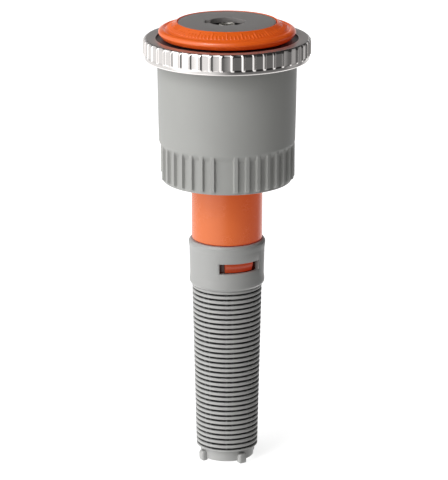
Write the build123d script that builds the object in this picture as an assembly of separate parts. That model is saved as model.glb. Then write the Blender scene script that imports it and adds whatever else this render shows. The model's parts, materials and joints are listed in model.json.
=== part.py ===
from build123d import *
import os
from math import cos, radians, sin

# Rotary stream nozzle for a lawn sprinkler, shown shut down, with its rotor drawn in by the spring.
# A fixed body (housing, inlet tube, deflector, filter) screws onto a riser. On it turn the fluted
# arc ring with its nozzle, and through it rises a steel shaft that carries the spinning rotor.
# Millimetres, +Z up. The origin is on the axis, in the plane where the riser's rim seats.
# Angles are bearings about +Z from the front (-Y), positive towards +X.

# ---- fits and gaps ----
RUN = 0.05  # radial clearance of anything that turns or slides
REST = 0.05  # gap between two pieces that only lie together

# ---- housing ----
SEAT_R = 7.3  # land that the riser's rim seats on
BOSS_BORE_R = 7.5  # bore of the riser thread at its crests
SKIRT_Z = -10.0  # lower rim of the housing
SKIRT_R = 10.8  # between the grip ribs
RIB_R = 11.36  # over the grip ribs
RIB_PITCH = 10.0  # degrees
RIB_FIRST = 7.6
RIB_WIDTH = 0.9
RIB_TOP_Z = -4.3
PLAIN_LANDS = (-2.4, -82.4, -92.4, 177.6)  # bearings where a rib is left out
WALL_LOW_R, WALL_LOW_Z = 11.42, -3.5
WALL_TOP_R, WALL_TOP_Z = 11.66, 10.6
NECK_R, NECK_TOP_Z = 10.85, 13.3
CUP_R, FLOOR_Z = 10.0, 2.0
CORE_R = (8.9, 9.7)  # moulding cores between the thread boss and the skirt
CORE_TOP_Z = -2.6
CORE_COUNT = 6
CORE_SPAN = 52.0
TUBE_HOLE_R = 6.05

# ---- arc ring and its steel cover ----
RING_R = 14.0
RING_LOW_Z, RING_TOP_Z = 10.85, 14.35
COVER_IN_R = 13.4
COVER_LIP_R = 11.9  # inner edge of the cover's top face
FLUTES = 48
FLUTE_CUTTER_R = 0.9
FLUTE_DEPTH = 0.35
FLUTE_LOW_Z = 11.5
RING_WALL_R = (9.3, 9.9)  # wall that hangs down inside the housing's cup
RING_FLOOR_Z = (3.2, 4.2)
SPLINES = 12
SPLINE_R = (6.1, 6.45)
SPLINE_WIDTH = 1.0

# ---- nozzle and deflector ----
NOZZLE_Z = (2.85, 4.6)
NOZZLE_BORE_R = 3.95
SHUTTER_SPAN = 150.0  # degrees that each of the two shutters blocks
SHUTTER_T = 0.4
HUB_R = 2.6

# ---- inlet tube ----
TUBE_R = 5.98
TUBE_BORE_R = 4.5
FLANGE_R, FLANGE_TOP_Z = 6.9, 2.75
RECESS_R, RECESS_Z = 5.0, 1.4
TUBE_LOW_Z = -20.15
SPIGOT_R, SPIGOT_BORE_R, SPIGOT_Z = 5.3, 4.6, -28.0
SEAT_BORE_R = 3.1  # throttle seat
SEAT_Z = (-20.5, -19.5)
KEYWAY_R, KEY_WIDTH = 4.85, 2.0
TAB_R = 6.0
WINDOW_MID, WINDOW_SPAN, TAB_SPAN = 23.5, 71.0, 56.0
WINDOW_Z = (-25.1, -23.3)

# ---- shaft and spring ----
SHAFT_R = 1.5
SHAFT_Z = (-28.0, 16.6)
FLAT_HALF = 1.2  # half the size across the two flats
FLAT_TOP_Z = -14.2
POP_UP = 5.5  # travel of the rotor
CLIP_Z = (-13.9, -13.4)
CUP_Z = (-13.3, -12.6)
SPRING_WIRE_R, SPRING_R, SPRING_COILS = 0.25, 2.45, 9

# ---- throttle ----
SCREW_R, SCREW_Z = 2.4, (-28.6, -20.9)
BRIDGE_Z = (-27.9, -26.4)
PLUG_Z = (-25.6, -23.6)
PLUG_R = 3.9
SPOKE_WIDTH = 1.2

# ---- rotor ----
ROTOR_R, ROTOR_LOW_Z, ROTOR_EDGE_Z = 9.05, 6.3, 12.2
ROTOR_HUB_R = 3.3
ROTOR_FLANGE_R, ROTOR_FLANGE_Z = 10.2, (14.5, 15.2)
STREAMS = 14
CHAMBER_R, CHAMBER_Z = 5.6, (8.4, 13.5)
LID_R, LID_Z = 6.3, (13.55, 14.75)
BEARING_R = 2.9
STATOR_R, STATOR_Z = 5.2, (9.6, 12.9)

# ---- cap ----
CAP_R, CAP_LOW_Z = 11.55, 14.45
CREASE_R, CREASE_Z = 10.35, 15.8
CAP_LIP_R, CAP_TOP_Z = 8.3, 17.05
DISC_R, DISC_Z = 8.15, (16.15, 17.0)
KEYHOLE_R, KEYWAY_REACH, KEYWAY_SLOT = 3.0, 3.7, 2.4

# ---- filter ----
COLLAR_TOP_Z, COLLAR_LOW_Z = -20.3, -28.2
COLLAR_BORE_R = 5.42
COLLAR_LIP_R = 6.49
BARS = 33  # slots between the filter's rings
SLOT_FIRST_Z, SLOT_PITCH, SLOT_WIDTH = -28.89, 0.8666, 0.37
SLOT_DEPTH = 0.55
FILTER_TOP_R, FILTER_END_R = 5.92, 5.24
FILTER_WALL = 1.2
FILTER_END_Z = -57.1
STRUTS = 8
STRUT_SPAN = 13.0  # degrees that each strut covers
END_CAP_R, END_Z = 4.6, -59.1
LUG_R, LUG_WIDTH, LUG_Z = 5.35, 1.5, (-59.45, -57.7)
LUG_BEARINGS = (32.0, 122.0, 212.0, 302.0)

UP = (Align.CENTER, Align.CENTER, Align.MIN)


def turned(points):
    """A solid of revolution about Z from a closed outline of (radius, height) points."""
    outline = make_face(Polyline(*[(r, 0, z) for r, z in points], close=True))
    return revolve(outline, axis=Axis.Z)


def turned_edges(edges):
    """A solid of revolution about Z from the outline that the edges close."""
    return revolve(make_face(Curve() + edges), axis=Axis.Z)


def ring(inner, outer, low, high):
    return turned([(inner, low), (outer, low), (outer, high), (inner, high)])


def disc(radius, low, high):
    return Pos(0, 0, low) * Cylinder(radius, high - low, align=UP)


def o_ring(radius, section, z):
    return Pos(0, 0, z) * Torus(radius, section)


def at(bearing, item):
    """Turns an item made at the front, on -Y, round to a bearing."""
    return Rot(0, 0, bearing) * item


def block(inner, outer, width, low, high):
    """A radial block at the front, between two radii and two heights."""
    size = outer - inner
    return Pos(0, -(inner + outer) / 2, low) * Box(width, size, high - low, align=UP)


def sector(inner, outer, span, low, high):
    """A piece of a ring, centred on the front, that covers span degrees."""
    outline = make_face(Polyline(
        (inner, 0, low), (outer, 0, low), (outer, 0, high), (inner, 0, high), close=True))
    return Rot(0, 0, -90 - span / 2) * revolve(outline, axis=Axis.Z, revolution_arc=span)


def around(count, item, first=0.0):
    """The item repeated evenly about Z."""
    return [at(first + i * 360 / count, item) for i in range(count)]


# ---------------------------------------------------------------- fixed body

def base_housing():
    """Moulded housing: threaded boss inside a ribbed skirt, a cup above it and a neck for the ring."""
    skirt_low, skirt_high = (SKIRT_R, 0, -9.7), (SKIRT_R, 0, -6.6)
    wall_low = (WALL_LOW_R, 0, WALL_LOW_Z)
    shoulder = Spline(skirt_high, wall_low, tangents=[(0, 0, 1), (0.02, 0, 1)])
    groove_low, groove_high, groove_r = 10.95, 11.55, 10.37
    bead_low, bead_high, bead_r = 12.0, 12.5, 11.05
    upper = Polyline(
        wall_low, (WALL_TOP_R, 0, WALL_TOP_Z), (NECK_R, 0, WALL_TOP_Z),
        (NECK_R, 0, groove_low), (groove_r, 0, groove_low), (groove_r, 0, groove_high),
        (NECK_R, 0, groove_high), (NECK_R, 0, bead_low - 0.2), (bead_r, 0, bead_low),
        (bead_r, 0, bead_low + 0.2), (NECK_R, 0, bead_high), (NECK_R, 0, NECK_TOP_Z - 0.3),
        (NECK_R - 0.3, 0, NECK_TOP_Z), (CUP_R, 0, NECK_TOP_Z), (CUP_R, 0, FLOOR_Z),
        (TUBE_HOLE_R, 0, FLOOR_Z), (TUBE_HOLE_R, 0, 0.2), (TUBE_HOLE_R + 0.2, 0, 0),
        (SEAT_R, 0, 0), (SEAT_R, 0, 0.3), (8.1, 0, 0.3), (8.1, 0, -1.4), (BOSS_BORE_R, 0, -2.0),
        (BOSS_BORE_R, 0, -8.9), (8.2, 0, -9.6), (8.2, 0, SKIRT_Z), (SKIRT_R - 0.3, 0, SKIRT_Z),
        skirt_low, skirt_high)
    body = turned_edges([shoulder, upper])
    core = sector(*CORE_R, CORE_SPAN, SKIRT_Z - 1, CORE_TOP_Z)
    body -= around(CORE_COUNT, core, 30.0)
    rib = block(SKIRT_R - 0.4, RIB_R, RIB_WIDTH, SKIRT_Z + 0.4, RIB_TOP_Z)
    plain = [bearing % 360 for bearing in PLAIN_LANDS]
    bearings = [(RIB_FIRST + i * RIB_PITCH) % 360 for i in range(36)]
    kept = [b for b in bearings if min(abs(b - p) for p in plain) > 1]
    return body + [at(b, rib) for b in kept]


def inlet_tube():
    """Tube that hangs in the housing's floor by its flange, with the throttle seat and snap tabs."""
    groove_r, groove_z = 5.45, (0.6, 1.4)
    tube = turned([
        (TUBE_BORE_R, RECESS_Z), (RECESS_R, RECESS_Z), (RECESS_R, FLANGE_TOP_Z),
        (FLANGE_R, FLANGE_TOP_Z), (FLANGE_R, FLOOR_Z + REST), (TUBE_R, FLOOR_Z + REST),
        (TUBE_R, groove_z[1]), (groove_r, groove_z[1]), (groove_r, groove_z[0]),
        (TUBE_R, groove_z[0]), (TUBE_R, TUBE_LOW_Z), (SPIGOT_R, TUBE_LOW_Z),
        (SPIGOT_R, SPIGOT_Z + 0.3), (SPIGOT_R - 0.3, SPIGOT_Z), (SPIGOT_BORE_R, SPIGOT_Z),
        (SPIGOT_BORE_R, SEAT_Z[0]), (SEAT_BORE_R + 0.5, SEAT_Z[0]),
        (SEAT_BORE_R, SEAT_Z[0] + 0.5), (SEAT_BORE_R, SEAT_Z[1]), (TUBE_BORE_R, -18.1)])
    keyway = block(3.5, KEYWAY_R, KEY_WIDTH + 2 * RUN, SPIGOT_Z - 1, SEAT_Z[0] - 0.3)
    tab = sector(SPIGOT_R - 0.2, TAB_R, TAB_SPAN, WINDOW_Z[0] + 0.15, WINDOW_Z[1] - 0.15)
    return (tube - around(3, keyway)) + around(2, tab, WINDOW_MID)


def stream_deflector():
    """Fixed centre of the water exit: a hub on three spokes, with the shutter that sets the arc."""
    rim = ring(4.3, RECESS_R - REST, RECESS_Z + 0.03, FLANGE_TOP_Z - REST)
    spoke = block(HUB_R - 0.3, 4.5, SPOKE_WIDTH, RECESS_Z + 0.03, FLANGE_TOP_Z - REST)
    bore = SHAFT_R + RUN
    hub = turned([(bore, -0.5), (HUB_R - 0.3, -0.5), (HUB_R, -0.2), (HUB_R, 5.3),
                  (HUB_R - 0.6, 5.8), (bore, 5.8)])
    low = NOZZLE_Z[1] + RUN
    shutter = sector(HUB_R - 0.2, 4.6, SHUTTER_SPAN, low, low + SHUTTER_T)
    return rim + around(3, spoke) + hub + at(180, shutter)


def tube_o_ring():
    return o_ring(5.75, 0.28, 1.0)


def ring_o_ring():
    return o_ring(10.65, 0.26, 11.25)


def nozzle_o_ring():
    return o_ring(5.4, 0.24, NOZZLE_Z[0] + 0.25)


def collar_outline():
    """Outside of the filter's collar, from its top edge down to the slotted part."""
    return [(COLLAR_BORE_R, COLLAR_TOP_Z), (6.2, COLLAR_TOP_Z), (COLLAR_LIP_R, COLLAR_TOP_Z - 0.4),
            (COLLAR_LIP_R, COLLAR_TOP_Z - 0.8), (6.37, COLLAR_TOP_Z - 1.5), (6.26, -26.4),
            (6.35, -27.3), (6.33, -27.75), (6.02, COLLAR_LOW_Z)]


def filter_radius(z):
    """Outside radius of the tapered slotted part at a height."""
    share = (z - COLLAR_LOW_Z) / (FILTER_END_Z - COLLAR_LOW_Z)
    return FILTER_TOP_R + (FILTER_END_R - FILTER_TOP_R) * share


def filter_basket():
    """Snap-on filter: collar with two windows, a tapered stack of rings on struts, and an end cap."""
    outline = collar_outline()
    for i in range(BARS):
        mid = SLOT_FIRST_Z - i * SLOT_PITCH
        high, low = mid + SLOT_WIDTH / 2, mid - SLOT_WIDTH / 2
        outline += [(filter_radius(high), high), (filter_radius(high) - SLOT_DEPTH, high),
                    (filter_radius(low) - SLOT_DEPTH, low), (filter_radius(low), low)]
    inner_end = FILTER_END_R - FILTER_WALL
    outline += [(FILTER_END_R, FILTER_END_Z), (END_CAP_R, FILTER_END_Z), (END_CAP_R, END_Z + 0.2),
                (END_CAP_R - 0.2, END_Z), (0, END_Z), (0, END_Z + 1.2), (inner_end, END_Z + 1.2),
                (inner_end, FILTER_END_Z), (FILTER_TOP_R - FILTER_WALL, -28.5),
                (COLLAR_BORE_R - 0.4, SPIGOT_Z - 0.15), (COLLAR_BORE_R, SPIGOT_Z - 0.15)]
    body = turned(outline)
    window = sector(COLLAR_BORE_R - 0.5, 7.0, WINDOW_SPAN, *WINDOW_Z)
    body -= around(2, window, WINDOW_MID)
    # between the struts a comb cuts every slot right through the wall
    teeth = [(2.0, SLOT_FIRST_Z + 0.3)]
    for i in range(BARS):
        mid = SLOT_FIRST_Z - i * SLOT_PITCH
        reach, root = filter_radius(mid) - SLOT_DEPTH / 2, filter_radius(mid) - FILTER_WALL - 0.2
        high, low = mid + SLOT_WIDTH / 2, mid - SLOT_WIDTH / 2
        teeth += [(root, high), (reach, high), (reach, low), (root, low)]
    teeth += [(2.0, FILTER_END_Z + 0.3)]
    open_span = 360 / STRUTS - STRUT_SPAN
    outline = make_face(Polyline(*[(r, 0, z) for r, z in teeth], close=True))
    comb = Rot(0, 0, -90 - open_span / 2) * revolve(outline, axis=Axis.Z, revolution_arc=open_span)
    body -= around(STRUTS, comb, 180 / STRUTS)
    lug = block(END_CAP_R - 0.6, LUG_R, LUG_WIDTH, *LUG_Z)
    return body + [at(bearing, lug) for bearing in LUG_BEARINGS]


def throttle_bridge():
    """Spider pressed into the spigot's mouth: the throttle screw turns in its hub."""
    rim = ring(4.1, SPIGOT_BORE_R - REST, *BRIDGE_Z)
    hub = ring(2.0 + RUN, 3.0, *BRIDGE_Z)
    return rim + hub + around(3, block(2.8, 4.3, SPOKE_WIDTH, *BRIDGE_Z), 60.0)


# ---------------------------------------------------------------- arc ring and nozzle

def arc_ring():
    """Plastic ring: a skirt over the housing's neck and a splined cup that turns the nozzle."""
    bore = NECK_R + 0.1
    outer = COVER_IN_R - REST
    body = turned([
        (bore, 11.1), (12.5, 11.1), (12.5, 11.3), (outer, 11.3), (outer, 14.0),
        (RING_WALL_R[0], 14.0), (RING_WALL_R[0], RING_FLOOR_Z[1]), (SPLINE_R[1] - 0.25, RING_FLOOR_Z[1]),
        (SPLINE_R[1] - 0.25, RING_FLOOR_Z[0]), (RING_WALL_R[1], RING_FLOOR_Z[0]),
        (RING_WALL_R[1], 13.4), (bore, 13.4), (bore, 12.7), (bore + 0.3, 12.6),
        (bore + 0.3, 11.9), (bore, 11.7)])
    notch = block(SPLINE_R[0] - 0.3, SPLINE_R[1] + REST, SPLINE_WIDTH + 2 * REST, 3.0, 4.4)
    return body - around(SPLINES, notch)


def arc_ring_cover():
    """Pressed stainless cover: flat top, fluted side, plain rim and a lip crimped under the ring."""
    body = turned([
        (COVER_LIP_R, 14.05), (COVER_LIP_R, RING_TOP_Z), (13.35, RING_TOP_Z), (13.65, 14.25),
        (13.88, 14.05), (RING_R, 13.75), (RING_R, 11.05), (13.88, RING_LOW_Z), (12.6, RING_LOW_Z),
        (12.6, 11.2), (COVER_IN_R, 11.2), (COVER_IN_R, 14.05)])
    depth_centre = RING_R + FLUTE_CUTTER_R - FLUTE_DEPTH
    flute = Pos(0, -depth_centre, FLUTE_LOW_Z) * Cylinder(FLUTE_CUTTER_R, 4.0, align=UP)
    return body - around(FLUTES, flute, 180 / FLUTES)


def arc_nozzle():
    """Nozzle collar that turns with the ring; its shutter slides under the deflector's."""
    low, high = NOZZLE_Z
    body = turned([
        (NOZZLE_BORE_R, low), (5.08, low), (5.08, low + 0.5), (5.72, low + 0.5), (5.72, low),
        (SPLINE_R[0], low), (SPLINE_R[0], high - 0.3), (SPLINE_R[0] - 0.3, high),
        (NOZZLE_BORE_R, high)])
    spline = block(SPLINE_R[0] - 0.2, SPLINE_R[1], SPLINE_WIDTH, *RING_FLOOR_Z)
    shutter = sector(HUB_R + RUN, NOZZLE_BORE_R + 0.2, SHUTTER_SPAN, high - SHUTTER_T, high)
    return body + around(SPLINES, spline) + at(180 - 120, shutter)


# ---------------------------------------------------------------- shaft and spring

def two_flats(radius, half, low, high):
    return disc(radius, low, high) & (Pos(0, 0, low) * Box(4 * radius, 2 * half, high - low, align=UP))


def shaft():
    """Stainless shaft with a screwdriver slot on top, a clip groove and two flats below."""
    body = disc(SHAFT_R, FLAT_TOP_Z, SHAFT_Z[1]) + two_flats(SHAFT_R, FLAT_HALF, SHAFT_Z[0], FLAT_TOP_Z)
    body = chamfer(body.edges().group_by(Axis.Z)[-1], 0.2)
    slot = Pos(0, 0, SHAFT_Z[1] - 0.7) * Box(4 * SHAFT_R, 0.6, 2.0, align=UP)
    return body - slot - ring(1.1, 3.0, CLIP_Z[0] - 0.02, CLIP_Z[1] + 0.02)


def shaft_clip():
    """Open retaining clip in the shaft's groove, under the spring cup."""
    return ring(1.12, 2.6, *CLIP_Z) - block(0, 4.0, 1.9, CLIP_Z[0] - 1, CLIP_Z[1] + 1)


def spring_cup():
    """Flanged washer that the spring pushes down and the clip carries."""
    bore = SHAFT_R + RUN
    return turned([(bore, CUP_Z[0]), (3.0, CUP_Z[0]), (3.0, CUP_Z[1]), (2.05, CUP_Z[1]),
                   (2.05, -11.5), (bore, -11.5)])


def return_spring():
    """Compression spring between the spring cup and the deflector's hub."""
    low = CUP_Z[1] + SPRING_WIRE_R + 0.02
    high = -0.5 - SPRING_WIRE_R - 0.02
    line = Pos(0, 0, low) * Helix((high - low) / SPRING_COILS, high - low, SPRING_R)
    section = Plane(origin=line @ 0, z_dir=line % 0) * Circle(SPRING_WIRE_R)
    return sweep(section, path=line, is_frenet=True)


# ---------------------------------------------------------------- throttle

def throttle_screw():
    """Sleeve keyed on the shaft's flats; it turns with the shaft and drives the plug up or down."""
    low, high = SCREW_Z
    bridge_low, bridge_high = BRIDGE_Z
    body = turned([
        (0, low), (2.1, low), (2.25, low + 0.2), (2.25, bridge_low - REST - 0.1),
        (2.0, bridge_low - REST), (2.0, bridge_high + REST), (2.8, bridge_high + REST),
        (2.8, -25.75), (SCREW_R, -25.75), (SCREW_R, high - 0.2), (SCREW_R - 0.2, high), (0, high)])
    return body - two_flats(SHAFT_R + RUN, FLAT_HALF + RUN, low - 1, high + 1)


def throttle_plug():
    """Plug that climbs the screw towards the seat in the tube, kept from turning by three keys."""
    low, high = PLUG_Z
    bore = SCREW_R + RUN
    body = turned([(bore, low), (PLUG_R, low), (PLUG_R, high - 0.6), (PLUG_R - 0.6, high), (bore, high)])
    key = block(3.4, KEYWAY_R - RUN, KEY_WIDTH, low, high - 0.8)
    return body + around(3, key)


# ---------------------------------------------------------------- rotor and cap

def rotor_plate():
    """Stream distributor: a trumpet-shaped underside with channels, and the brake chamber inside."""
    bearing_seat = BEARING_R + 0.03
    underside = ThreePointArc((ROTOR_HUB_R, 0, ROTOR_LOW_Z), (7.0, 0, 8.3), (ROTOR_R, 0, ROTOR_EDGE_Z))
    rest = Polyline(
        (ROTOR_R, 0, ROTOR_EDGE_Z), (ROTOR_R, 0, ROTOR_FLANGE_Z[0]),
        (ROTOR_FLANGE_R, 0, ROTOR_FLANGE_Z[0]), (ROTOR_FLANGE_R, 0, ROTOR_FLANGE_Z[1]),
        (LID_R + 0.05, 0, ROTOR_FLANGE_Z[1]), (LID_R + 0.05, 0, CHAMBER_Z[1]),
        (CHAMBER_R, 0, CHAMBER_Z[1]), (CHAMBER_R, 0, CHAMBER_Z[0]), (bearing_seat, 0, CHAMBER_Z[0]),
        (bearing_seat, 0, 6.9), (2.2, 0, 6.9), (2.2, 0, ROTOR_LOW_Z), (ROTOR_HUB_R, 0, ROTOR_LOW_Z))
    body = turned_edges([underside, rest])
    # each channel is a round bar laid along the underside's slope and swept a little sideways
    channel = Pos(1.3, -7.9, 9.2) * Rot(-52, 0, 0) * Rot(0, 9, 0) * Cylinder(0.75, 16.0)
    keep_hub = disc(4.6, 0, 20)
    return body - [at(i * 360 / STREAMS, channel) - keep_hub for i in range(STREAMS)]


def chamber_lid():
    return ring(BEARING_R - 0.25 + 0.03, LID_R, *LID_Z)


def upper_bearing():
    return ring(SHAFT_R + RUN, BEARING_R - 0.25, 13.1, 14.7)


def lower_bearing():
    return ring(SHAFT_R + RUN, BEARING_R, 6.92, 8.3)


def lip_seal():
    """Rubber shaft seal that keeps the brake fluid in the chamber."""
    lip = SHAFT_R + 0.02
    return turned([(lip, 8.55), (1.8, 8.45), (3.6, 8.45), (3.6, 9.1), (3.0, 9.1), (3.0, 8.75),
                   (2.0, 8.75), (lip, 8.9)])


def thrust_washer():
    return ring(SHAFT_R + RUN, 2.8, 9.15, 9.5)


def stator_drum():
    """Drum fixed on the shaft: the fluid between it and the chamber slows the rotor."""
    bore = SHAFT_R + 0.02
    low, high = STATOR_Z
    return turned([(bore, low), (2.6, low), (2.6, low + 0.5), (STATOR_R, low + 0.5), (STATOR_R, high),
                   (STATOR_R - 0.8, high), (STATOR_R - 0.8, low + 1.3), (2.6, low + 1.3),
                   (2.6, high), (bore, high)])


def colour_cap_ring():
    """Coloured ring on the rotor's flange: a shallow cone down to a crease, then a round bead."""
    bead = ThreePointArc((CREASE_R, 0, CREASE_Z), (11.2, 0, 15.7), (CAP_R, 0, 15.0))
    rest = Polyline(
        (CAP_R, 0, 15.0), (CAP_R - 0.1, 0, CAP_LOW_Z), (ROTOR_FLANGE_R + 0.05, 0, CAP_LOW_Z),
        (ROTOR_FLANGE_R + 0.05, 0, 15.25), (CAP_LIP_R, 0, 15.25), (CAP_LIP_R, 0, CAP_TOP_Z - 0.1),
        (CAP_LIP_R + 0.12, 0, CAP_TOP_Z), (CREASE_R, 0, CREASE_Z))
    return turned_edges([bead, rest])


def cap_disc():
    """Disc in the middle of the cap, on a boss, with the keyhole that the lifting key hooks under."""
    low, high = DISC_Z
    body = turned([(0, low), (7.0, low), (7.0, 15.25), (7.8, 15.25), (7.8, low), (DISC_R, low),
                   (DISC_R, high - 0.12), (DISC_R - 0.12, high), (0, high)])
    keyway = Pos(-KEYWAY_REACH / 2, 0, low - 1) * Box(KEYWAY_REACH, KEYWAY_SLOT, 4, align=UP)
    return body - disc(KEYHOLE_R, low - 1, high + 1) - keyway


NODES = [
    base_housing, inlet_tube, tube_o_ring, stream_deflector, filter_basket, throttle_bridge,
    ring_o_ring, arc_ring, arc_ring_cover, arc_nozzle, nozzle_o_ring, spring_cup, return_spring,
    shaft, shaft_clip, stator_drum, throttle_screw, throttle_plug, rotor_plate, chamber_lid,
    upper_bearing, lower_bearing, lip_seal, thrust_washer, colour_cap_ring, cap_disc,
]

os.makedirs("parts", exist_ok=True)
for make in NODES:
    export_step(make(), f"parts/{make.__name__}.step")
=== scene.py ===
import json

import bmesh
import bpy
import numpy as np
from mathutils import Matrix, Vector


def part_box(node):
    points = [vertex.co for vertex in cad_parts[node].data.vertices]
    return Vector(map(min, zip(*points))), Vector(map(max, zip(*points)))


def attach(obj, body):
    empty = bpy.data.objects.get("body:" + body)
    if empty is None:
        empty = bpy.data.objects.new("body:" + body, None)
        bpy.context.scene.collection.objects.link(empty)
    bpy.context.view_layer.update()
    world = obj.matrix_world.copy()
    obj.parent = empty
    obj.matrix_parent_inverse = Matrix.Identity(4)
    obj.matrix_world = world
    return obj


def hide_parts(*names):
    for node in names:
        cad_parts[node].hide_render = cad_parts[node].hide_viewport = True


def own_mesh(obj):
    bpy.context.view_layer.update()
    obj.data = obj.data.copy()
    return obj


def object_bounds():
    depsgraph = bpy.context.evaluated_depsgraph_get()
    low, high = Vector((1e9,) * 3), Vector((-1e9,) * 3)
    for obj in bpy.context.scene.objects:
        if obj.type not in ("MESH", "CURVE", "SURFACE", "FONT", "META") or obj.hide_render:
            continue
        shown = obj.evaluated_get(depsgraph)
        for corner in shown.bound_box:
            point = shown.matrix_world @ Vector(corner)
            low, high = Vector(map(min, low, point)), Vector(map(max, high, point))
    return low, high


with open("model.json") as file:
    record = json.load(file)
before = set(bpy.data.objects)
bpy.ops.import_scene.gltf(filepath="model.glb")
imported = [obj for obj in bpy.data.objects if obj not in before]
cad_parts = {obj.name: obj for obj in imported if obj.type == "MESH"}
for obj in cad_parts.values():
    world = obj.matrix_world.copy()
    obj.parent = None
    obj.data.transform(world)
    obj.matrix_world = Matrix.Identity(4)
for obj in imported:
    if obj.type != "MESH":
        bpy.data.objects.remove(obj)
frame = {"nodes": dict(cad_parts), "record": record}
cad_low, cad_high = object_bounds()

# ---- Grey housing -------------------------------------------------------------------------------
# The fixed body, moulded in one shot of grey glass-filled plastic. A plain drum tapers down to a
# skirt whose ribs give the fingers a grip. Inside the skirt a boss carries the riser's thread, and
# six pockets core out the thick section around it.

MM = 0.001
CORE_R = (8.9, 9.7)
THREAD_PITCH, THREAD_DEPTH, THREAD_MINOR_R = 0.907, 0.45, 7.5
THREAD_FOOT_Z, THREAD_HEAD_Z = (-9.0, -8.2), (-2.9, -2.1)  # where the grooves run in and out
SKIRT_R, DRUM_R, SHOULDER_Z = 10.82, 11.42, (-4.55, -3.05)
DRUM_TAPER, DRUM_LOW_Z, DRUM_LENGTH = 0.24, -3.5, 14.1
RIB_PITCH = np.radians(10.0)
RIB_FIRST = np.radians(7.6)
RIB_CREST_R, RIB_MIDDLE_R, RIB_FLAT, RIB_FOOT = 11.36, 11.0, 0.28, 0.44
RIB_COUNT, PLAIN_RIBS = 36, (17, 26, 27, 35)  # and the places where a rib is left out
WEB_HALF = np.radians((4.0, 5.5))  # where a web between two pockets ends, and a pocket begins


def outline(corners):
    """The closed outline of a turned piece. A corner is (radius, height, fillet): straight runs
    meet it one tangent length away, and an arc of the fillet's radius joins them."""
    centres = np.array([corner[:2] for corner in corners], float)
    runs = []
    for i, (*_, fillet) in enumerate(corners):
        here = centres[i]
        if not fillet:
            runs.append(here[None])
            continue
        back, on = centres[i - 1] - here, centres[(i + 1) % len(corners)] - here
        lengths = np.hypot(*back), np.hypot(*on)
        back, on = back / lengths[0], on / lengths[1]
        half = np.arccos(np.clip(back @ on, -1, 1)) / 2
        reach = min(fillet / np.tan(half), 0.48 * lengths[0], 0.48 * lengths[1])
        middle = here + (back + on) / np.hypot(*(back + on)) * reach / np.cos(half)
        sweep = np.pi - 2 * half
        t = np.linspace(0, 1, max(3, int(np.ceil(sweep / np.radians(22))) + 1))[:, None]
        start, end = here + back * reach - middle, here + on * reach - middle
        arc = np.sin((1 - t) * sweep) * start + np.sin(t * sweep) * end
        runs.append(middle + arc / np.sin(sweep))
    return np.concatenate(runs)


def smooth(low, high, x):
    """0 below low and 1 above high, with an S-shaped rise between them."""
    t = np.clip((x - low) / (high - low), 0, 1)
    return t * t * (3 - 2 * t)


def lathe(profile, bearings, shape=None):
    """A closed skin: the outline carried round the axis, with a copy at each bearing in radians
    from the front. shape(radius, height, bearing) may move the points of the grid first."""
    radius = np.repeat(profile[:, :1], len(bearings), 1)
    height = np.repeat(profile[:, 1:], len(bearings), 1)
    bearing = np.broadcast_to(bearings, radius.shape)
    if shape:
        radius, height = shape(radius, height, bearing)
    points = np.stack([radius * np.sin(bearing), -radius * np.cos(bearing), height], -1)
    rows, columns = radius.shape
    i, j = np.meshgrid(np.arange(rows), np.arange(columns), indexing="ij")
    on, across = (i + 1) % rows, (j + 1) % columns
    here, there = i * columns, on * columns
    quads = np.stack([here + j, here + across, there + across, there + j], -1)
    return points.reshape(-1, 3), quads.reshape(-1, 4)


def joined(skins):
    """Several skins as one: their points in a row, each one's faces counted on from the last."""
    starts = np.cumsum([0] + [len(points) for points, _ in skins])
    faces = [quads + start for (_, quads), start in zip(skins, starts)]
    return np.concatenate([points for points, _ in skins]), np.concatenate(faces)


def round_bearings(count):
    return np.arange(count) * 2 * np.pi / count


def piece(name, skin, material, body, nodes=()):
    """Makes the skin a mesh that rides on its body, poles closed and faces pointing outwards."""
    mesh = bpy.data.meshes.new(name)
    mesh.from_pydata(skin[0] * MM, [], skin[1])
    work = bmesh.new()
    work.from_mesh(mesh)
    bmesh.ops.remove_doubles(work, verts=work.verts, dist=2e-7)
    bmesh.ops.recalc_face_normals(work, faces=work.faces)
    work.to_mesh(mesh)
    work.free()
    mesh.shade_smooth()
    mesh.set_sharp_from_angle(angle=np.radians(50))
    mesh.materials.append(material)
    made = bpy.data.objects.new(name, mesh)
    bpy.context.scene.collection.objects.link(made)
    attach(made, body)
    if nodes:
        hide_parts(*nodes)
    return made


class Signal:
    """A value in a shader's node tree. Arithmetic on signals adds Math nodes."""

    def __init__(self, tree, socket=None):
        self.tree, self.socket = tree, socket

    def node(self, kind, settings=None, sockets=None, output=0):
        """Adds a node: its settings first, then the values or links of its sockets."""
        made = self.tree.nodes.new(kind)
        for name, value in (settings or {}).items():
            setattr(made, name, value)
        for name, value in (sockets or {}).items():
            if isinstance(value, Signal):
                self.tree.links.new(value.socket, made.inputs[name])
            else:
                made.inputs[name].default_value = value
        return Signal(self.tree, made.outputs[output])

    def math(self, operation, *values):
        return self.node("ShaderNodeMath", {"operation": operation}, dict(enumerate(values)))

    def __add__(self, other):
        return self.math("ADD", self, other)

    def __sub__(self, other):
        return self.math("SUBTRACT", self, other)

    def __rsub__(self, other):
        return self.math("SUBTRACT", other, self)

    def __mul__(self, other):
        return self.math("MULTIPLY", self, other)

    def __pow__(self, other):
        return self.math("POWER", self, other)

    __radd__, __rmul__ = __add__, __mul__

    def rise(self, low, high):
        """0 below low and 1 above high, with an S-shaped rise between them."""
        limits = {"Value": self, "From Min": low, "From Max": high}
        return self.node("ShaderNodeMapRange", {"interpolation_type": "SMOOTHSTEP"}, limits)

    def between(self, low, high):
        """The colour low where this is 0, and high where it is 1. Each is a colour or a signal."""
        return self.node("ShaderNodeMix", {"data_type": "RGBA"}, {0: self, 6: low, 7: high}, 2)


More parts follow.
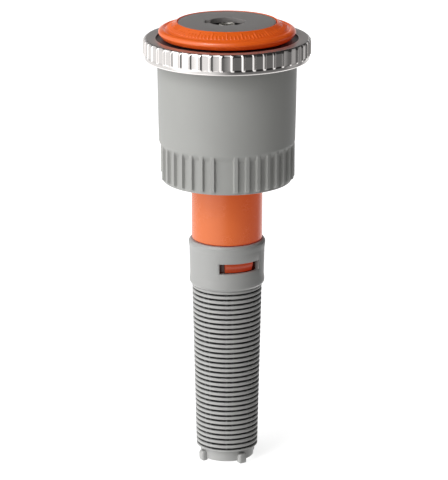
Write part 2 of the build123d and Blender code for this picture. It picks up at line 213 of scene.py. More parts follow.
class Finish:
    """A material: one Principled shader, its constants, and signals that vary over the surface."""

    def __init__(self, name, constants):
        self.material = bpy.data.materials.new(name)
        self.material.use_nodes = True
        self.tree = self.material.node_tree
        self.shader = self.tree.nodes["Principled BSDF"]
        for socket, value in constants.items():
            self.shader.inputs[socket].default_value = value
        self.place = Signal(self.tree).node("ShaderNodeTexCoord", output="Object")
        apart = self.place.node("ShaderNodeSeparateXYZ", sockets={0: self.place})
        outputs = apart.socket.node.outputs
        self.x, self.y, self.z = (Signal(self.tree, output) for output in outputs)
        self.radius = (self.x * self.x + self.y * self.y) ** 0.5

    def noise(self, size, detail=2.0, vector=None):
        """Noise whose lumps are about size metres across, from 0 to 1."""
        sockets = {"Vector": vector or self.place, "Scale": 1 / size, "Detail": detail}
        return self.place.node("ShaderNodeTexNoise", sockets=sockets)

    def vary(self, socket, signal):
        self.tree.links.new(signal.socket, self.shader.inputs[socket])

    def relief(self, height, depth):
        """A bump whose height runs from 0 to 1, and is depth metres deep."""
        sockets = {"Strength": 1.0, "Distance": depth, "Height": height}
        self.vary("Normal", height.node("ShaderNodeBump", sockets=sockets))


def shade(colour, factor):
    return (*[channel * factor for channel in colour], 1.0)


CLOUD_SIZE, GRAIN_SIZE = 0.0045, 0.00013  # metres


def moulded(name, colour, roughness, grain=1.5e-6):
    """Moulded plastic: pigment clouds some millimetres across, a fine eroded grain from the mould,
    and a gloss that is a little uneven."""
    made = Finish(name, {"IOR": 1.5})
    clouds, fine = made.noise(CLOUD_SIZE, 3.0), made.noise(GRAIN_SIZE)
    made.vary("Base Color", clouds.between(shade(colour, 0.965), shade(colour, 1.035)))
    made.vary("Roughness", roughness + (clouds - 0.5) * 0.10 + (fine - 0.5) * 0.05)
    made.relief(fine, grain)
    return made.material


def wall_radius(z):
    """Outside of the housing: the skirt's root, a short S-curve, and the drum with its taper."""
    drum = DRUM_R + DRUM_TAPER * (1 - (1 - np.clip((z - DRUM_LOW_Z) / DRUM_LENGTH, 0, 1)) ** 1.3)
    return SKIRT_R + (drum - SKIRT_R) * smooth(*SHOULDER_Z, z)


low, high = (np.array(corner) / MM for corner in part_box("base_housing"))
skirt_z, neck_z = low[2], high[2]
rib_places = np.radians([-5, -3.3, -2.4, -2.1, -1.8, -1.4, -0.5, 0.5, 1.4, 1.8, 2.1, 2.4, 3.3])
housing_bearings = (RIB_FIRST + RIB_PITCH * np.arange(RIB_COUNT)[:, None] + rib_places).ravel()
ribbed = np.repeat([place not in PLAIN_RIBS for place in range(RIB_COUNT)], len(rib_places))


def housing_shape(radius, height, bearing):
    """Ribs stand on the skirt, the thread winds up the boss, and webs bridge the cored pockets."""
    off_rib = np.abs((bearing - RIB_FIRST + RIB_PITCH / 2) % RIB_PITCH - RIB_PITCH / 2)
    rib = ribbed * (1 - smooth(RIB_FLAT, RIB_FOOT, off_rib * RIB_MIDDLE_R))
    rib = rib * smooth(skirt_z + 0.3, skirt_z + 0.7, height)
    outside = (radius > SKIRT_R - 0.07) & (height < SHOULDER_Z[1] + 0.5)
    radius = radius + outside * rib * np.clip(RIB_CREST_R - radius, 0, None)
    turn = (height / THREAD_PITCH - bearing / (2 * np.pi)) % 1
    groove = smooth(0.12, 0.42, turn) - smooth(0.58, 0.88, turn)
    faded = smooth(*THREAD_FOOT_Z, height) * (1 - smooth(*THREAD_HEAD_Z, height))
    in_bore = np.abs(radius - THREAD_MINOR_R) < 0.01
    radius = radius + in_bore * faded * groove * THREAD_DEPTH
    off_web = np.abs((bearing + np.pi / 6) % (np.pi / 3) - np.pi / 6)
    pocket = (radius > CORE_R[0] - 0.2) & (radius < CORE_R[1] + 0.2) & (height < -2)
    open_here = smooth(*WEB_HALF, off_web)
    return radius, np.where(pocket, skirt_z + (height - skirt_z) * open_here, height)


housing_outline = outline([
    (SKIRT_R, skirt_z, 0.25),
    *[(wall_radius(z), z, 0) for z in np.linspace(skirt_z + 0.3, skirt_z + 0.75, 5)],
    *[(wall_radius(z), z, 0) for z in (-8.0, -6.0, -4.9, *np.linspace(-4.6, -2.95, 13))],
    *[(wall_radius(z), z, 0) for z in (-2.0, 1.0, 4.0, 7.0)],
    (high[0], 10.6, 0.15), (10.85, 10.6, 0.15), (10.85, 10.95, 0.04), (10.37, 10.95, 0.04),
    (10.37, 11.55, 0.04), (10.85, 11.55, 0.04), (10.85, 11.8, 0.05), (11.05, 12.0, 0.06),
    (11.05, 12.2, 0.06), (10.85, 12.5, 0.05), (10.85, neck_z, 0.25), (10.0, neck_z, 0.15),
    (10.0, 2.0, 0.4), (6.05, 2.0, 0.1), (6.05, 0, 0.12), (7.3, 0, 0), (7.3, 0.3, 0),
    (8.1, 0.3, 0.08), (8.1, -1.4, 0.08),
    *[(THREAD_MINOR_R, z, 0) for z in np.arange(-2.0, -9.0, -THREAD_PITCH / 5)],
    (8.2, -9.6, 0.08), (8.2, skirt_z, 0.08), (CORE_R[0], skirt_z, 0.08), (CORE_R[0], -2.6, 0.25),
    (CORE_R[1], -2.6, 0.25), (CORE_R[1], skirt_z, 0.08)])
GREY = (0.328, 0.329, 0.315)
grey_housing_plastic = moulded("grey_housing_plastic", GREY, 0.46)
housing_skin = lathe(housing_outline, housing_bearings, housing_shape)
piece("housing_shell", housing_skin, grey_housing_plastic, "base",
      ["base_housing"])

# ---- Orange inlet tube --------------------------------------------------------------------------
# The water's way in, moulded in glossy orange acetal. Its flange lies on the housing's floor. At
# the foot a thinner spigot takes the filter: two ramps on it snap into the collar's windows, and
# three keyways inside keep the throttle plug from turning.

WINDOW_MID = np.radians(23.5)
WINDOW_HALF, TAB_HALF = np.radians(35.5), np.radians(28.0)
WINDOW_Z = (-25.1, -23.3)
SPIGOT_R, SPIGOT_BORE_R = 5.3, 4.6

low, high = (np.array(corner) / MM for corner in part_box("inlet_tube"))
spigot_z, flange_z, flange_r = low[2], high[2], high[0]


def half_turn(bearing):
    """Bearing away from the nearer of the two windows, which face each other."""
    return np.abs((bearing - WINDOW_MID + np.pi / 2) % np.pi - np.pi / 2)


def tube_shape(radius, height, bearing):
    """Two snap ramps stand out of the spigot, and three keyways are sunk into its bore."""
    on_spigot = np.abs(radius - SPIGOT_R) < 0.01
    ramp = smooth(-25.05, -24.0, height) * 0.24 + smooth(-24.1, -23.9, height) * 0.05
    tab = (0.08 + ramp) * smooth(-25.06, -24.98, height) * (1 - smooth(-23.5, -23.42, height))
    across = 1 - smooth(TAB_HALF - np.radians(1.6), TAB_HALF, half_turn(bearing))
    radius = radius + on_spigot * across * tab
    in_bore = (radius < SPIGOT_BORE_R + 0.01) & (height < -20.7)
    off_key = np.abs((bearing + np.pi / 3) % (2 * np.pi / 3) - np.pi / 3) * SPIGOT_BORE_R
    return radius + in_bore * 0.25 * (1 - smooth(0.97, 1.05, off_key)), height


tube_outline = outline([
    (4.5, 1.4, 0.05), (5.0, 1.4, 0.05), (5.0, flange_z, 0.1), (flange_r, flange_z, 0.15),
    (flange_r, 2.05, 0.1), (5.98, 2.05, 0.04), (5.98, 1.4, 0.04), (5.45, 1.4, 0.05),
    (5.45, 0.6, 0.05), (5.98, 0.6, 0.05), (5.97, -8.0, 0), (5.95, -20.15, 0.14),
    (SPIGOT_R, -20.15, 0.05),
    *[(SPIGOT_R, z, 0) for z in np.linspace(-23.36, -23.56, 5)],
    *[(SPIGOT_R, z, 0) for z in np.linspace(-23.8, -24.9, 8)],
    *[(SPIGOT_R, z, 0) for z in np.linspace(-24.96, -25.08, 4)],
    (SPIGOT_R, spigot_z, 0.25), (SPIGOT_BORE_R, spigot_z, 0.08), (SPIGOT_BORE_R, -20.8, 0),
    (SPIGOT_BORE_R, -20.5, 0.05), (3.6, -20.5, 0.1), (3.1, -20.0, 0.06), (3.1, -19.5, 0.1),
    (4.5, -18.1, 0.2)])
ORANGE, PAINTED_GLOW = (0.50, 0.140, 0.026), (1.0, 0.03, 0.0)
COVERED_Z = -21.5  # the collar covers the spigot below this
TAB_FOOT_R = 5.35  # the tabs stand out past this


def orange_with_painted_glow(name, colour, roughness, strength):
    """Glossy orange with a painted glow: an emission, though the plastic is no lamp. Below the
    collar's edge its colour is darkened with painted shade, most of all beside the tabs, where the
    painted glow is dimmed too."""
    made = Finish(name, {"IOR": 1.6, "Emission Strength": strength})
    clouds, fine = made.noise(CLOUD_SIZE, 3.0), made.noise(GRAIN_SIZE)
    # Painted shade: below the collar's edge the pigment is darkened to 38 per cent, beside the tabs
    # to 5 per cent.
    collar_shade = 1 - made.z.rise((COVERED_Z - 0.2) * MM, COVERED_Z * MM)
    tab_shade = collar_shade * (1 - made.radius.rise((TAB_FOOT_R - 0.03) * MM, (TAB_FOOT_R + 0.03) * MM))
    pigment = clouds.between(shade(colour, 0.97), shade(colour, 1.03))
    shaded_pigment = collar_shade.between(pigment, shade(colour, 0.38))
    made.vary("Base Color", tab_shade.between(shaded_pigment, shade(colour, 0.05)))
    # painted glow: emission in the orange's own hue, dimmed beside the tabs
    made.vary("Emission Color", tab_shade.between(shade(PAINTED_GLOW, 1.0), shade(PAINTED_GLOW, 0.06)))
    made.vary("Roughness", roughness + (clouds - 0.5) * 0.10 + (fine - 0.5) * 0.05)
    made.relief(fine, 0.8e-6)
    return made.material


# the tube's painted glow has strength 0.22
orange_plastic = orange_with_painted_glow("orange_plastic", ORANGE, 0.26, 0.22)
tube_skin = lathe(tube_outline, round_bearings(360), tube_shape)
piece("inlet_tube_shell", tube_skin, orange_plastic, "base", ["inlet_tube"])

# ---- Filter basket ------------------------------------------------------------------------------
# One moulding in light grey plastic. Rings a fraction of a millimetre apart hang on eight struts
# and keep grit out of the nozzle. The collar above snaps over the tube's spigot through its two
# windows, and the closed end has four lugs to pull it off by.

COLLAR_BORE_R = 5.42
SLOT_COUNT, SLOT_FIRST, SLOT_PITCH, SLOT_WIDTH = 33, -28.89, 0.8666, 0.37
BASKET_TOP, BASKET_END = (5.92, -28.2), (5.24, -57.1)
RING_T, FIN_OFF, FIN_T, FIN_SUNK = 1.15, 0.5, 0.3, 0.40
LUG_TOP_Z, LUG_R, LUG_SIZE = -57.7, 4.75, (1.5, 1.2)
STRUT_BEARINGS = np.radians(5 + 45 * np.arange(8))
LUG_BEARINGS = np.radians([32, 122, 212, 302])

low, high = (np.array(corner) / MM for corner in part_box("filter_basket"))
collar_top, lug_z = high[2], low[2]


def basket_radius(z):
    return np.interp(-z, (-BASKET_TOP[1], -BASKET_END[1]), (BASKET_TOP[0], BASKET_END[0]))


def pierced(skin, profile, bearings, walls, z_range, middles, half):
    """Cuts windows through the two walls of a skin: the quads inside a window's rows and columns
    go, and new ones join the hole's rim on the outside to its rim on the inside."""
    points, quads = skin
    columns = len(bearings)
    keep = np.ones((len(quads) // columns, columns), bool)
    bridges = []
    for middle in middles:
        off = (bearings - middle + np.pi) % (2 * np.pi) - np.pi
        order = np.argsort(off)
        inside = order[np.abs(off[order]) <= half + 1e-9]
        rims = []
        for wall_r in walls:
            wall = (np.abs(profile[:, 0] - wall_r) < 0.3) & (profile[:, 1] > z_range[0] - 1e-6)
            rows = np.flatnonzero(wall & (profile[:, 1] < z_range[1] + 1e-6))
            rows = rows[np.argsort(profile[rows, 1])]
            keep[np.ix_(np.minimum(rows[:-1], rows[1:]), inside[:-1])] = False
            rims.append(np.concatenate([
                rows[0] * columns + inside[:-1], rows[:-1] * columns + inside[-1],
                rows[-1] * columns + inside[:0:-1], rows[:0:-1] * columns + inside[0]]))
        outside, within = rims
        bridges.append(np.stack([outside, np.roll(outside, -1), np.roll(within, -1), within], -1))
    return points, np.concatenate([quads[keep.ravel()], *bridges])


WINDOW_MIDS = (WINDOW_MID, WINDOW_MID + np.pi)
WINDOW_EDGE, WINDOW_ROUND = 0.015, 0.07  # radians outside the rim, and how far it is drawn in


def window_lines(middle):
    """Places across a window, with one more line just outside each of its edges."""
    first, last = middle - WINDOW_HALF, middle + WINDOW_HALF
    across = np.linspace(first, last, 25)
    return np.concatenate([[first - WINDOW_EDGE], across, [last + WINDOW_EDGE]])


def collar_shape(radius, height, bearing):
    """The window's rim is drawn in a little, so that its edges are rounded."""
    rim = (height > WINDOW_Z[0] - 1e-3) & (height < WINDOW_Z[1] + 1e-3)
    rim = rim & (half_turn(bearing) < WINDOW_HALF + 1e-4)
    drawn = np.where(radius > 6.0, -WINDOW_ROUND, WINDOW_ROUND)
    return np.where(rim, radius + drawn, radius), height


reach = WINDOW_HALF + WINDOW_EDGE
windows = [window_lines(middle) for middle in WINDOW_MIDS]
plain = [np.linspace(w[-1], w[-1] + np.pi - 2 * reach, 44)[1:-1] for w in windows]
collar_bearings = np.concatenate([windows[0], plain[0], windows[1], plain[1]])
window_rows = [WINDOW_Z[1] + 0.09, WINDOW_Z[1], -23.9, -24.5, WINDOW_Z[0], WINDOW_Z[0] - 0.09]
collar_outline = outline([
    (COLLAR_BORE_R, collar_top, 0.08), (6.2, collar_top, 0.1), (6.49, collar_top - 0.4, 0.12),
    (6.49, collar_top - 0.8, 0.2), (6.37, collar_top - 1.5, 0.6),
    *[(np.interp(-z, (21.8, 26.4), (6.37, 6.26)), z, 0) for z in window_rows],
    (6.26, -26.4, 0.8), (6.35, -27.3, 0.3), (6.33, -27.75, 0.08), (6.04, -28.12, 0.05),
    (5.86, -28.16, 0.03), (5.86, -28.26, 0.03), (5.93, -28.34, 0.05), (5.91, -28.72, 0.1),
    (4.87, -28.72, 0.1), (4.87, -28.5, 0.1), (5.02, -28.15, 0.05), (COLLAR_BORE_R, -28.15, 0.05),
    *[(COLLAR_BORE_R, z, 0) for z in reversed(window_rows)]])
collar = lathe(collar_outline, collar_bearings, collar_shape)
collar = pierced(collar, collar_outline, collar_bearings, (6.3, COLLAR_BORE_R), WINDOW_Z,
                 WINDOW_MIDS, WINDOW_HALF)


def basket_ring(top, bottom):
    """One ring of the basket between two slots: a rounded bar that follows the basket's taper."""
    upper, under = basket_radius(top), basket_radius(bottom)
    corners = [(upper, top, 0.13), (under, bottom, 0.13),
               (under - RING_T, bottom, 0.1), (upper - RING_T, top, 0.1)]
    return lathe(outline(corners), round_bearings(96))


def bar(rings):
    """A closed solid from a stack of loops of equal length: sides, and a fan on each end."""
    levels, count = rings.shape[:2]
    i, j = np.meshgrid(np.arange(levels - 1), np.arange(count), indexing="ij")
    across = (j + 1) % count
    lower, upper = i * count, (i + 1) * count
    sides = np.stack([lower + j, lower + across, upper + across, upper + j], -1)
    j, across = np.arange(count), (np.arange(count) + 1) % count
    last, foot, head = (levels - 1) * count, levels * count, levels * count + 1
    feet = np.stack([j, across, np.full(count, foot), np.full(count, foot)], -1)
    heads = np.stack([last + j, last + across, np.full(count, head), np.full(count, head)], -1)
    points = np.concatenate([rings.reshape(-1, 3), rings[:1].mean(1), rings[-1:].mean(1)])
    return points, np.concatenate([sides.reshape(-1, 4), feet, heads])


def rounded_box(centre, size, fillet, bearing):
    """A box with all its edges rounded: loops of a rounded rectangle that shrink at both ends. Its
    size is (across, outwards, up). It stands at a bearing, its centre at (radius, height)."""
    across, outwards, up = (length / 2 - fillet for length in size)
    turn = np.linspace(0, np.pi / 2, 5)
    quarter = np.concatenate([turn + k * np.pi / 2 for k in range(4)])
    corner_x = np.repeat([across, -across, -across, across], len(turn))
    corner_y = np.repeat([outwards, outwards, -outwards, -outwards], len(turn))
    lift = np.linspace(-np.pi / 2, np.pi / 2, 9)[:, None]
    reach = fillet * np.cos(lift)
    x = corner_x + reach * np.cos(quarter)
    y = corner_y + reach * np.sin(quarter) + centre[0]
    z = np.repeat(np.where(lift < 0, -up, up) + fillet * np.sin(lift), len(quarter), 1) + centre[1]
    turned = x * np.cos(bearing) + y * np.sin(bearing), x * np.sin(bearing) - y * np.cos(bearing)
    return bar(np.stack([*turned, z], -1))


def fin(bearing, off):
    """A thin bar behind the rings, from the collar to the closed end. Two of them make a strut."""
    ends = []
    for z in (-28.6, BASKET_END[1] - 0.1):
        outer = basket_radius(z) - FIN_SUNK
        inner = outer - RING_T
        corners = [(-1, outer), (1, outer), (1, inner), (-1, inner)]
        ends.append([(off + side * FIN_T / 2, reach, z) for side, reach in corners])
    across, reach, z = np.moveaxis(np.array(ends), -1, 0)
    x = across * np.cos(bearing) + reach * np.sin(bearing)
    return bar(np.stack([x, across * np.sin(bearing) - reach * np.cos(bearing), z], -1))


slot_mids = SLOT_FIRST - SLOT_PITCH * np.arange(SLOT_COUNT)
tops = slot_mids - SLOT_WIDTH / 2
bottoms = np.append(slot_mids[1:] + SLOT_WIDTH / 2, BASKET_END[1])
end_outline = outline([
    (0, -57.4, 0), (4.2, -57.4, 0.2), (4.2, -57.0, 0.1), (4.9, -57.0, 0.05), (4.9, -57.1, 0.05),
    (4.6, -57.2, 0.1), (4.55, -59.1, 0.3), (3.6, -59.1, 0.1), (3.4, -58.9, 0.2), (0, -58.9, 0)])
lug_middle = (LUG_R, (lug_z + LUG_TOP_Z) / 2)
lug_size = (*LUG_SIZE, LUG_TOP_Z - lug_z)
basket_skins = [collar]
basket_skins += [basket_ring(top, bottom) for top, bottom in zip(tops, bottoms)]
basket_skins += [fin(bearing, off) for bearing in STRUT_BEARINGS for off in (-FIN_OFF, FIN_OFF)]
basket_skins += [lathe(end_outline, round_bearings(120))]
basket_skins += [rounded_box(lug_middle, lug_size, 0.4, bearing) for bearing in LUG_BEARINGS]
LIGHT_GREY = (0.39, 0.39, 0.38)


def plastic_with_painted_slot_shade(name, colour, roughness):
    """The filter's plastic, coloured a little darker in the collar than in the rings. Its slots
    have painted shade: the deeper below the outer surface, the darker, and rougher too.
    """
    made = Finish(name, {"IOR": 1.5})
    clouds, fine = made.noise(0.004, 3.0), made.noise(GRAIN_SIZE)
    taper = (BASKET_TOP[0] - BASKET_END[0]) / (BASKET_TOP[1] - BASKET_END[1])
    surface = made.z * taper + (BASKET_TOP[0] - BASKET_TOP[1] * taper) * MM
    # painted shade in the slots, between the collar and the closed end, darker with depth
    depth = (surface - made.radius).rise(0.06 * MM, 0.42 * MM)
    slot_shade = depth * (1 - made.z.rise(-28.9 * MM, -28.6 * MM)) * made.z.rise(-57.3 * MM, -57.1 * MM)
    rings = clouds.between(shade(colour, 0.965), shade(colour, 1.035))
    collar_tone = clouds.between(shade(colour, 0.87), shade(colour, 0.92))
    in_collar = made.z.rise(-28.8 * MM, -28.3 * MM)
    unshaded_tone = in_collar.between(rings, collar_tone)
    made.vary("Base Color", slot_shade.between(unshaded_tone, shade(colour, 0.20)))
    made.vary("Roughness", roughness + (clouds - 0.5) * 0.10 + slot_shade * 0.3)
    made.relief(fine, 1.5e-6)
    return made.material


filter_plastic = plastic_with_painted_slot_shade("filter_plastic", LIGHT_GREY, 0.40)
basket_skin = joined(basket_skins)
piece("filter_body", basket_skin, filter_plastic, "base", ["filter_basket"])

# ---- Arc ring and its steel cover ---------------------------------------------------------------
# The ring that the hand turns to set the watered arc: black plastic, splined to the nozzle inside.
# Its cover is pressed from thin stainless sheet and polished, with flutes rolled into the side and
# the lower edge crimped under the plastic.

FLUTES = 48
FLUTE_PITCH = 2 * np.pi / FLUTES
FLUTE_Z = (11.5, 14.36)
RIM_R, TOP_R, FLUTE_DEPTH, FLUTE_RUN_OUT = 13.82, 13.4, 0.25, 0.65

low, high = (np.array(corner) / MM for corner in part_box("arc_ring_cover"))
cover_r, cover_low, cover_top = high[0], low[2], high[2]


def cover_shape(radius, height, bearing):
    """Each flute has a nearly flat floor between steep walls, runs out in a curve at the top and
    ends in a short step at the foot. The crests between them stand a little proud of the rim."""
    off = np.abs((bearing + FLUTE_PITCH / 2) % FLUTE_PITCH / FLUTE_PITCH - 0.5) * 2
    cap = (np.clip(height - (FLUTE_Z[1] - FLUTE_RUN_OUT), 0, None) / FLUTE_RUN_OUT) ** 2
    floor = (1 - smooth(0.60, 0.97, off)) * (0.74 + 0.26 * (1 - off ** 2))
    hollow = np.clip(floor - cap, 0, None)
    step = smooth(FLUTE_Z[0], FLUTE_Z[0] + 0.30, height)
    proud = (cover_r - RIM_R) * (1 - smooth(13.7, 14.4, height) * 0.6)
    outside = radius > 13.55
    return radius + outside * step * (proud - FLUTE_DEPTH * hollow), height


cover_outline = outline([
    (11.9, 14.05, 0.1), (11.9, cover_top, 0.13), (TOP_R, cover_top, 0.12),
    *[(TOP_R + (RIM_R - TOP_R) * np.sin(t), cover_top - 0.5 * (1 - np.cos(t)), 0)
      for t in np.linspace(0.3, 1.57, 8)],
    *[(RIM_R, z, 0) for z in np.linspace(13.88, 11.9, 18)],
    *[(RIM_R, z, 0) for z in np.linspace(11.84, 11.48, 8)],
    (RIM_R, 11.35, 0), (RIM_R, cover_low, 0.5), (12.6, cover_low, 0.1), (12.6, 11.2, 0.1),
    (13.4, 11.2, 0.05), (13.4, 14.05, 0.1)])
POLISH_LINES, POLISH_DRIFT = 9000, 260  # lines to a metre, and how often they change along it


def spun_steel(name, colour, roughness, streak, brushed_z=1.0):
    """Polished stainless steel: faint polishing lines run round the piece, broad patches of it are
    a little duller, and a face above brushed_z metres is left brushed."""
    made = Finish(name, {"Metallic": 1.0})
    across = {0: made.radius * POLISH_LINES, 1: made.z * POLISH_LINES, 2: made.x * POLISH_DRIFT}
    lines = made.noise(1.0, 3.0, made.place.node("ShaderNodeCombineXYZ", sockets=across))
    patches = made.noise(0.003, 2.0)
    made.vary("Base Color", patches.between(shade(colour, 0.95), shade(colour, 1.0)))
    brushed = made.z.rise(brushed_z - 0.06 * MM, brushed_z) * 0.34
    made.vary("Roughness", roughness + brushed + (lines - 0.5) * streak + (patches - 0.5) * 0.06)
    made.relief(lines, 0.25e-6)
    return made.material


flute_bearings = round_bearings(FLUTES * 22)
stainless_sheet = spun_steel("stainless_sheet", (0.82, 0.785, 0.765), 0.10, 0.08, cover_top * MM)
cover_skin = lathe(cover_outline, flute_bearings, cover_shape)
piece("steel_ring_cover", cover_skin, stainless_sheet, "arc_adjuster",
      ["arc_ring_cover"])

ring_outline = outline([
    (10.95, 11.1, 0.08), (12.5, 11.1, 0.08), (12.5, 11.3, 0.05), (13.35, 11.3, 0.08),
    (13.35, 14.0, 0.08), (9.3, 14.0, 0.2), (9.3, 4.2, 0.3), (6.2, 4.2, 0.05), (6.2, 3.2, 0.05),
    (9.9, 3.2, 0.25), (9.9, 13.4, 0.15), (10.95, 13.4, 0.1), (10.95, 12.7, 0.08),
    (11.25, 12.55, 0.1), (11.25, 11.9, 0.1), (10.95, 11.7, 0.08)])


def ring_shape(radius, height, bearing):
    """Twelve notches in the cup's floor, where the nozzle's splines engage."""
    off = np.abs((bearing + np.pi / 12) % (np.pi / 6) - np.pi / 12) * 6.3
    return radius + (radius < 6.3) * 0.3 * (1 - smooth(0.5, 0.6, off)), height


ring_plastic = moulded("ring_plastic", (0.035, 0.035, 0.036), 0.42)
ring_skin = lathe(ring_outline, round_bearings(480), ring_shape)
piece("arc_ring_body", ring_skin, ring_plastic, "arc_adjuster", ["arc_ring"])

# ---- Rotor --------------------------------------------------------------------------------------
# The spinning stream distributor in black acetal. The jets strike its trumpet-shaped underside and
# leave along fourteen curved channels, whose sweep makes it turn. The brake chamber is inside.

STREAMS = 14
STREAM_PITCH = 2 * np.pi / STREAMS
HUB_R, BELL_R, BELL_Z = 3.3, 9.05, 12.2
SWEEP, CHANNEL_SHARE, CHANNEL_IN, CHANNEL_UP = np.radians(26), 0.72, 0.35, 0.95

low, high = (np.array(corner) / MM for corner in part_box("rotor_plate"))
rotor_low, rotor_top, rotor_r = low[2], high[2], high[0]
bell = np.linspace(0, 1, 26)
bell_r = HUB_R + (BELL_R - HUB_R) * (0.62 * bell + 0.38 * np.sin(bell * np.pi / 2))
bell_z = rotor_low + (BELL_Z - rotor_low) * (1 - np.cos(bell * np.pi / 2)) ** 0.9


def bell_height(radius):
    return np.interp(radius, bell_r, bell_z)


def rotor_shape(radius, height, bearing):
    """Channels of rounded section, wider and deeper outwards, swept back with the radius."""
    out = smooth(3.6, 5.2, radius) * (1 - smooth(13.2, 13.6, height))
    under = (radius > HUB_R + 0.1) & (radius < BELL_R + 0.15) & (height < 14.0)
    under = under & (height < bell_height(radius) + 0.6)
    sweep = SWEEP * (radius / BELL_R) ** 2
    off = np.abs((bearing - sweep + STREAM_PITCH / 2) % STREAM_PITCH / STREAM_PITCH - 0.5) * 2
    channel = np.sqrt(np.clip(1 - (off / CHANNEL_SHARE) ** 2, 0, None)) * out * under
    inwards = channel * CHANNEL_IN * (height > BELL_Z - 0.2)
    return radius - inwards, height + channel * CHANNEL_UP * (height <= BELL_Z + 0.05)


rotor_outline = outline([
    *[(r, z, 0) for r, z in zip(bell_r, bell_z)],
    *[(BELL_R, z, 0) for z in np.linspace(12.35, 13.7, 8)],
    (BELL_R, 14.5, 0.15), (rotor_r, 14.5, 0.15), (rotor_r, rotor_top, 0.1), (6.35, rotor_top, 0.08),
    (6.35, 13.5, 0.08), (5.6, 13.5, 0.1), (5.6, 8.9, 0.3), (2.93, 8.4, 0.05), (2.93, 6.9, 0.05),
    (2.2, 6.9, 0.08), (2.2, rotor_low, 0.08)])
black_acetal = moulded("black_acetal", (0.022, 0.022, 0.023), 0.36)
rotor_skin = lathe(rotor_outline, round_bearings(STREAMS * 36), rotor_shape)
piece("stream_rotor", rotor_skin, black_acetal, "rotor", ["rotor_plate"])

# ---- Cap ----------------------------------------------------------------------------------------
# The coloured ring tells the nozzle's radius class at a glance: a shallow cone with raised scale
# marks, a crease, and a round bead at the rim. The grey disc in the middle has the keyhole for the
# tool that lifts the rotor.

CONE, CONE_NORMAL = ((8.45, 17.05), (10.38, 15.82)), (0.54, 0.84)
MARK_PITCH, MARK_RADII, MARK_H = np.radians(3.75), (8.85, 9.95), 0.07
KEYHOLE_R, KEYWAY_REACH, KEYWAY_HALF = 3.0, 3.7, 1.2

low, high = (np.array(corner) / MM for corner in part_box("colour_cap_ring"))
cap_r, cap_low, cap_top = high[0], low[2], high[2]


def cap_shape(radius, height, bearing):
    """Raised marks on the cone: a scale of radial bars, longer at each fourth one."""
    place = np.round(bearing / MARK_PITCH)
    off = np.abs(bearing - place * MARK_PITCH) * np.mean(MARK_RADII)
    inner = np.where(place % 4 == 0, MARK_RADII[0], MARK_RADII[0] + 0.45)
    along = smooth(inner - 0.06, inner + 0.06, radius)
    along = along * (1 - smooth(MARK_RADII[1] - 0.06, MARK_RADII[1] + 0.06, radius))
    raised = (1 - smooth(0.09, 0.16, off)) * along * (height > 15.6) * MARK_H
    return radius + raised * CONE_NORMAL[0], height + raised * CONE_NORMAL[1]


cone_rows = [(r, np.interp(r, (CONE[0][0], CONE[1][0]), (CONE[0][1], CONE[1][1])), 0)
             for r in np.linspace(8.7, 10.15, 22)]
cap_outline = outline([
    (8.3, 15.25, 0.05), (8.3, cap_top, 0.07), (*CONE[0], 0.08), *cone_rows, (*CONE[1], 0.08),
    (10.72, 15.98, 0.25), (11.25, 15.78, 0.5), (cap_r, 15.3, 0.5), (cap_r - 0.7, cap_low, 0.15),
    (10.25, cap_low, 0.05), (10.25, 15.25, 0.05)])
# the cap ring's painted glow has strength 0.17
cap_orange = orange_with_painted_glow("cap_orange", (0.66, 0.128, 0.013), 0.20, 0.17)
cap_skin = lathe(cap_outline, round_bearings(96 * 12), cap_shape)
piece("colour_ring", cap_skin, cap_orange, "rotor", ["colour_cap_ring"])


def keyhole_radius(bearing):
    """Edge of the keyhole: a circle with a square-ended slot towards -X."""
    off = np.abs((bearing - 1.5 * np.pi + np.pi) % (2 * np.pi) - np.pi)
    corner = np.arctan2(KEYWAY_HALF, KEYWAY_REACH)
    mouth = np.arcsin(KEYWAY_HALF / KEYHOLE_R)
    side = KEYWAY_HALF / np.sin(np.clip(off, corner, mouth))
    return np.where(off < corner, KEYWAY_REACH / np.cos(np.minimum(off, corner)), side)


def disc_shape(radius, height, bearing):
    """The rows near the middle follow the keyhole's edge, and those further out stay round."""
    grow = keyhole_radius(bearing) - KEYHOLE_R
    return radius + grow * (1 - smooth(3.3, 5.0, radius)), height


low, high = (np.array(corner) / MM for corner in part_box("cap_disc"))
disc_r, disc_low, disc_top = high[0], low[2], high[2]
disc_outline = outline([
    (KEYHOLE_R, 16.15, 0.05), (KEYHOLE_R, disc_top, 0.1), (3.5, disc_top, 0), (4.2, disc_top, 0),
    (5.0, disc_top, 0), (disc_r, disc_top, 0.1), (disc_r, 16.15, 0.05), (7.8, 16.15, 0.04),
    (7.8, disc_low, 0.05), (7.0, disc_low, 0.05), (7.0, 16.15, 0.1), (4.2, 16.15, 0),
    (3.5, 16.15, 0)])
dark_grey_plastic = moulded("dark_grey_plastic", (0.212, 0.200, 0.194), 0.42)
disc_skin = lathe(disc_outline, round_bearings(720), disc_shape)
piece("keyhole_disc", disc_skin, dark_grey_plastic, "rotor", ["cap_disc"])

# ---- Shaft and spring ---------------------------------------------------------------------------
# A ground stainless shaft carries the rotor. A screwdriver in the slot on its end sets the
# radius, and a clip in its groove holds the cup that the return spring pushes down. The spring is
# cold-wound wire with closed ends.

SLOT_HALF, SLOT_DEPTH, END_CHAMFER = 0.3, 0.7, 0.2
LIMED = (0.74, 0.70, 0.61)
FLAT_HALF, FLAT_TOP = 1.2, -14.2
WHEEL_LINES = 14000  # to a metre

low, high = (np.array(corner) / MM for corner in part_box("shaft"))
shaft_r, shaft_low, shaft_top = high[0], low[2], high[2]


def shaft_shape(radius, height, bearing):
    """Two flats are ground on the lower part, for the sleeve that turns with the shaft."""
    flat = FLAT_HALF / np.maximum(np.abs(np.cos(bearing)), 1e-6)
    return np.where(height < FLAT_TOP, np.minimum(radius, flat), radius), height


